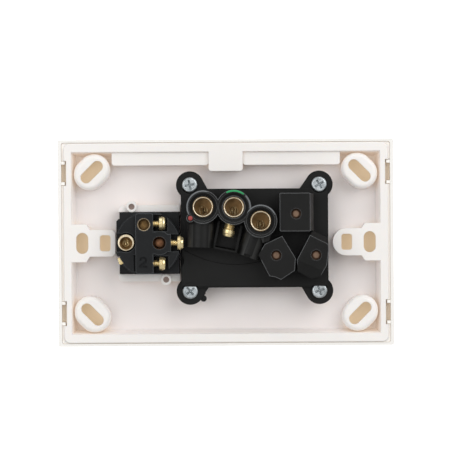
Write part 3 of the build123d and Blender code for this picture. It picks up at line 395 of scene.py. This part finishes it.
# darker copies of copper and brass as painted shade for parts deep in the switch holes, with painted light at each
# hole's middle fading to painted shade at its edge
dark_copper = metal("dark_copper", (0.20, 0.095, 0.050), (0.36, 0.18, 0.095), (0.34, 0.5),
                    rim=(switch_holes, [(0.0, (0.9, 0.9, 0.9)), (0.6, (0.8, 0.8, 0.8)), (1.5, (0.22, 0.22, 0.22)), (2.6, (0.08, 0.08, 0.08))]))
dark_brass = metal("dark_brass", (0.13, 0.08, 0.035), (0.46, 0.31, 0.14), (0.26, 0.4), scale=900.0, depth=0.0003,
                   rim=(switch_holes, [(0.0, (0.55, 0.5, 0.45)), (1.2, (0.35, 0.32, 0.3)), (2.0, (0.12, 0.11, 0.1)), (2.6, (0.1, 0.1, 0.1))]))
# a darker copy of brass as painted shade for the tubes in the switch holes
hole_brass = metal("brass_in_hole", (0.30, 0.22, 0.13), (0.52, 0.41, 0.27), (0.24, 0.36), edge=0.0003)
steel = metal("spring_wire", (0.55, 0.55, 0.56), (0.7, 0.7, 0.7), (0.25, 0.35))


def ridged_with_painted_light(name, spots, dark, light, rough, reach, rim, beyond, sights=None):
    # dull metal with a bumped pattern of ridges round each spot; the ridges are also painted light as a painted
    # highlight, and inside the rim radius the metal is painted dark as painted shade
    m, t, sh = new_material(name)
    co = coords(t)
    nearest = nearest_spot(t, co, spots)
    near = t.nodes.new("ShaderNodeMapRange")
    near.inputs["From Min"].default_value = reach * MM
    near.inputs["From Max"].default_value = reach * 0.45 * MM
    t.links.new(nearest, near.inputs["Value"])
    wave = t.nodes.new("ShaderNodeTexWave")
    wave.wave_type = "BANDS"
    wave.bands_direction = "X"
    wave.inputs["Scale"].default_value = 330.0
    wave.inputs["Distortion"].default_value = 7.0
    wave.inputs["Detail"].default_value = 3.0
    wave.inputs["Detail Scale"].default_value = 2.4
    t.links.new(co, wave.inputs["Vector"])
    ridge = t.nodes.new("ShaderNodeMath")
    ridge.operation = "MULTIPLY"
    t.links.new(wave.outputs["Fac"], ridge.inputs[0])
    t.links.new(near.outputs["Result"], ridge.inputs[1])
    # painted highlight: the ridges are coloured light over the dark metal
    inner = blend(t, ridge.outputs["Value"], ramp(t, noise(t, co, 420.0, 5.0, 0.6), [(0.35, dark), (0.65, tuple(c * 1.5 for c in dark))]), light)
    outside = t.nodes.new("ShaderNodeMapRange")
    outside.inputs["From Min"].default_value = (rim - 0.06) * MM
    outside.inputs["From Max"].default_value = (rim + 0.06) * MM
    t.links.new(nearest, outside.inputs["Value"])
    outer = ramp(t, noise(t, co, 420.0, 5.0, 0.6), [(0.32, beyond[0]), (0.64, beyond[1])])
    if sights is not None:
        # painted shade: away from the sight holes the metal is coloured near black
        outer = blend(t, band(t, nearest_spot(t, co, sights), 0.85, 1.25), outer, (0.045, 0.022, 0.014))
    t.links.new(blend(t, outside.outputs["Result"], inner, outer), sh.inputs["Base Color"])
    t.links.new(spread(t, noise(t, co, 700.0, 4.0, 0.6), rough[0], rough[1]), sh.inputs["Roughness"])
    bump(t, sh, ridge.outputs["Value"], 0.8, 0.00018, 0.0003)
    sh.inputs["Metallic"].default_value = 1.0
    return m


# painted shade and painted highlights on the contacts at the bottom of the tubes and inside the loop terminal
contact_metal = ridged_with_painted_light("contact_ridges_painted_light", [(p[0], p[1] - 1.2) for p in (t1, t2, t3)], (0.20, 0.125, 0.056), (0.95, 0.82, 0.50),
                        (0.3, 0.45), 1.9, 5.4, ((0.17, 0.112, 0.078), (0.25, 0.165, 0.115)), pins)
loop_metal = ridged_with_painted_light("loop_ridges_painted_light", [(-34.5, 0.0)], (0.10, 0.055, 0.02), (0.95, 0.76, 0.40),
                     (0.24, 0.36), 1.5, 2.25, ((0.62, 0.48, 0.30), (0.88, 0.78, 0.58)))

material_of = {
    "base_plate": white, "cover_plate": inner_white, "rocker": cover_white,
    "socket_body": black, "switch_base": switch_black, "switch_body": switch_black,
    "socket_front_plate": fibre, "rocker_plunger": nylon, "rocker_spring": steel,
    "socket_fixing_screws": zinc,
    "active_contact": contact_metal, "neutral_contact": contact_metal, "earth_contact": contact_metal, "moving_contact": copper,
    "fixed_contact_one": dark_brass, "fixed_contact_two": dark_brass, "common_strip": dark_copper,
    "active_terminal": brass, "earth_terminal": brass, "neutral_terminal": brass,
    "switch_tube_one": hole_brass, "switch_tube_two": hole_brass, "switch_tube_common": dark_copper,
    "loop_terminal": loop_metal, "loop_strip": bright_brass,
    "active_terminal_screw": bright_brass, "earth_terminal_screw": bright_brass, "neutral_terminal_screw": bright_brass,
    "switch_screw_one": bright_brass, "switch_screw_two": bright_brass, "switch_screw_common": bright_brass,
}
for name, m in material_of.items():
    o = nodes[name]
    if not o.material_slots:
        o.data.materials.append(m)
    for s in o.material_slots:
        s.material = m


# ---------------------------------------------------------------- pieces
def finish_mesh(name, bm, material, body):
    me = bpy.data.meshes.new(name)
    bm.normal_update()
    bm.to_mesh(me)
    bm.free()
    me.materials.append(material)
    o = bpy.data.objects.new(name, me)
    bpy.context.scene.collection.objects.link(o)
    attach(o, body)
    return o


def lathe(bm, rings, base, axis, side, segments=56):
    # rings: (distance along the axis, radius or function of the angle)
    third = axis.cross(side)
    rows = []
    for along, radius in rings:
        row = []
        for j in range(segments):
            a = 2 * math.pi * j / segments
            r = radius(a) if callable(radius) else radius
            row.append(bm.verts.new(base + axis * along * MM + (side * math.cos(a) + third * math.sin(a)) * r * MM))
        rows.append(row)
    for one, two in zip(rows, rows[1:]):
        for j in range(segments):
            k = (j + 1) % segments
            bm.faces.new((one[j], one[k], two[k], two[j]))
    return rows


def terminal_screw(name, body, replaced, under_head, outward, side, r_thread, shank, r_head, t_head, turns_from=0.0):
    # threaded shank, then a flanged head that narrows towards its slotted end
    bm = bmesh.new()
    pitch, depth = 0.62, 0.24
    rings = []
    steps = int(shank / (pitch / 10))
    for i in range(steps + 1):
        z = -shank + i * shank / steps

        def radius(a, z=z):
            f = (z / pitch - a / (2 * math.pi)) % 1.0
            ridge = max(0.0, 1.0 - abs(f - 0.5) * 3.2)
            taper = min(1.0, (z + shank) / 0.5 + 0.35)
            return (r_thread - depth + depth * min(1.0, ridge * 1.25)) * taper

        rings.append((z, radius))
    rows = lathe(bm, rings, under_head, outward, side, 40)
    tip = bm.verts.new(under_head - outward * (shank + 0.12) * MM)
    for j in range(40):
        bm.faces.new((rows[0][(j + 1) % 40], rows[0][j], tip))
    # head: a stack of rings with a slot pressed into the last of them
    third = outward.cross(side)
    seg = 72
    profile = [(0.0, r_thread - 0.35), (0.0, r_head - 0.12), (0.1, r_head), (t_head * 0.5, r_head),
               (t_head * 0.58, r_head - 0.14), (t_head * 0.64, r_head * 0.9), (t_head * 0.88, r_head * 0.84), (t_head, r_head * 0.7)]
    hrows = lathe(bm, profile, under_head, outward, side, seg)
    # crown, with the slot cut by lowering the points between its walls
    rr = r_head * 0.7
    n = 22
    grid = {}
    half_slot, slot_deep = 0.34, 0.95
    last = hrows[-1]
    inner_rows = [last]
    for i in range(1, n):
        r = rr * (1 - i / n)
        row = []
        for j in range(seg):
            a = 2 * math.pi * j / seg
            x, y = r * math.cos(a), r * math.sin(a)
            z = t_head
            if abs(x) < half_slot:
                z = t_head - slot_deep
            row.append(bm.verts.new(under_head + outward * z * MM + (side * x + third * y) * MM))
        inner_rows.append(row)
    for one, two in zip(inner_rows, inner_rows[1:]):
        for j in range(seg):
            k = (j + 1) % seg
            bm.faces.new((one[j], one[k], two[k], two[j]))
    centre = bm.verts.new(under_head + outward * (t_head - slot_deep) * MM)
    for j in range(seg):
        bm.faces.new((inner_rows[-1][j], inner_rows[-1][(j + 1) % seg], centre))
    bmesh.ops.recalc_face_normals(bm, faces=bm.faces)
    o = finish_mesh(name, bm, bright_brass, body)
    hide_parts(replaced)
    return o


fan = (2.0, 12.0, 20.5)
for label, point, lean, body in (("active", t1, fan[0], "active_screw"), ("earth", t2, fan[1], "earth_screw"), ("neutral", t3, fan[2], "neutral_screw")):
    a = math.radians(lean)
    out = Vector((math.sin(a), 0, -math.cos(a)))
    start = P(point[0], point[1], 9.4) + out * 7.9 * MM
    side = Vector((0, 1, 0)) if label == "earth" else out.cross(Vector((0, 1, 0)))
    terminal_screw(label + "_screw_threaded", body, label + "_terminal_screw", start, out, side, 1.9, 4.9, 2.15, 2.4)
for label, u, v, w in (("one", -23.04, 6.7, 9.2), ("two", -23.04, -7.0, 9.2), ("common", -16.74, 0.05, 9.2)):
    shank = 3.0 if label != "common" else 3.95
    terminal_screw("switch_screw_%s_threaded" % label, "switch_screw_" + label, "switch_screw_" + label,
                   P(u, v, w), Vector((-1, 0, 0)), Vector((0, 1, 0)), 1.2, shank - 0.06, 2.44, 2.14)

# colour marks on the terminal block
red = plastic("red_mark", (0.24, 0.022, 0.020), (0.36, 0.045, 0.038), (0.4, 0.5), depth=0.00002)
green = plastic("green_mark", (0.01, 0.30, 0.09), (0.02, 0.38, 0.13), (0.4, 0.5), depth=0.00002)
bm = bmesh.new()
base = P(-12.2, 8.5, 15.98)
rings = [(0.0, 0.80), (0.12, 0.78), (0.24, 0.66), (0.32, 0.44), (0.36, 0.2)]
rows = lathe(bm, rings, base, Vector((0, 1, 0)), Vector((1, 0, 0)), 32)
top = bm.verts.new(base + Vector((0, 1, 0)) * 0.37 * MM)
for j in range(32):
    bm.faces.new((rows[-1][j], rows[-1][(j + 1) % 32], top))
bmesh.ops.recalc_face_normals(bm, faces=bm.faces)
finish_mesh("active_mark_red", bm, red, "base")


def arc_band(name, centre, r, width, w0, w1, start, end, material):
    bm = bmesh.new()
    n = 40
    rows = []
    for i in range(n + 1):
        a = math.radians(start + (end - start) * i / n)
        fade = min(1.0, min(i, n - i) / 4.0 + 0.15)
        half = width * 0.5 * fade
        row = []
        for rr, ww in ((r - half, w0), (r - half * 0.8, w1), (r + half * 0.8, w1), (r + half, w0)):
            row.append(bm.verts.new(P(centre[0] + rr * math.cos(a), centre[1] + rr * math.sin(a), ww)))
        rows.append(row)
    for one, two in zip(rows, rows[1:]):
        for k in range(3):
            bm.faces.new((one[k], one[k + 1], two[k + 1], two[k]))
        bm.faces.new((one[3], one[0], two[0], two[3]))
    bm.faces.new(rows[0])
    bm.faces.new(list(reversed(rows[-1])))
    bmesh.ops.recalc_face_normals(bm, faces=bm.faces)
    return finish_mesh(name, bm, material, "base")


arc_band("earth_mark_green", t2, 5.62, 0.62, 15.98, 16.1, 50, 118, green)
# painted highlight: thin raised bands along the barrel tops, coloured pale as the light on their rounded edges
barrel_highlight_paint = plastic("painted_barrel_highlight", (0.12, 0.13, 0.14), (0.20, 0.21, 0.22), (0.35, 0.5), depth=0.00002)
arc_band("barrel_highlight_active", t1, 5.4, 0.42, 15.98, 16.08, 212, 68, barrel_highlight_paint)
arc_band("barrel_highlight_earth", t2, 5.62, 0.42, 15.98, 16.08, 46, -8, barrel_highlight_paint)
arc_band("barrel_highlight_neutral", t3, 5.35, 0.38, 15.98, 16.08, 22, 150, barrel_highlight_paint)

# ---------------------------------------------------------------- stage
def sheet(name, corners, strength):
    bm = bmesh.new()
    bm.faces.new([bm.verts.new(c) for c in corners])
    me = bpy.data.meshes.new(name)
    bm.to_mesh(me)
    bm.free()
    o = bpy.data.objects.new(name, me)
    bpy.context.scene.collection.objects.link(o)
    fm, ft, fs = new_material(name)
    ft.links.new(ramp(ft, noise(ft, coords(ft), 3.0), [(0.3, (0.93, 0.93, 0.93)), (0.7, (0.95, 0.95, 0.95))]), fs.inputs["Base Color"])
    fs.inputs["Roughness"].default_value = 0.9
    fs.inputs["Emission Color"].default_value = (1, 1, 1, 1)
    fs.inputs["Emission Strength"].default_value = strength
    me.materials.append(fm)
    return o


sheet("studio_wall", [(-0.6, -2.6, -0.5), (0.6, -2.6, -0.5), (0.6, -2.6, 0.5), (-0.6, -2.6, 0.5)], 1.15)

# ---------------------------------------------------------------- light
world = bpy.data.worlds.new("studio")
bpy.context.scene.world = world
world.use_nodes = True
world.node_tree.nodes["Background"].inputs["Color"].default_value = (1.0, 0.995, 0.985, 1.0)
world.node_tree.nodes["Background"].inputs["Strength"].default_value = 0.50


def area(name, loc, target, size, power, colour=(1, 1, 1)):
    d = bpy.data.lights.new(name, "AREA")
    d.shape = "RECTANGLE"
    d.size, d.size_y = size
    d.energy = power
    d.color = colour
    o = bpy.data.objects.new(name, d)
    o.location = loc
    o.rotation_euler = (Vector(target) - Vector(loc)).to_track_quat("-Z", "Y").to_euler()
    bpy.context.scene.collection.objects.link(o)
    return o


area("key", (-0.55, 0.85, 0.40), (0, 0, 0), (0.8, 0.8), 5.2)
area("fill", (0.5, 0.9, 0.12), (0, 0, 0), (0.8, 0.8), 3.3)
area("top", (0.0, 0.45, 1.0), (0, 0, 0), (0.9, 0.5), 1.5)
area("front", (-0.75, -0.95, 0.85), (0, 0, 0), (0.5, 0.5), 5.5)

# ---------------------------------------------------------------- camera
cam = bpy.data.cameras.new("camera")
cam.sensor_width = 36.0
distance = 1.1
cam.lens = 36.0 * distance / (450 * 0.0003478)
cam.clip_start = 0.05
cam.clip_end = 20
camera = bpy.data.objects.new("camera", cam)
camera.location = (0.0003, distance, 0.0061)
camera.rotation_euler = (Matrix.Rotation(math.radians(180), 4, "Z") @ Matrix.Rotation(math.radians(90), 4, "X") @ Matrix.Rotation(math.radians(-0.35), 4, "Z")).to_euler()
bpy.context.scene.collection.objects.link(camera)
bpy.context.scene.camera = camera
bpy.context.scene.view_settings.view_transform = "Standard"
bpy.context.scene.view_settings.look = "None"
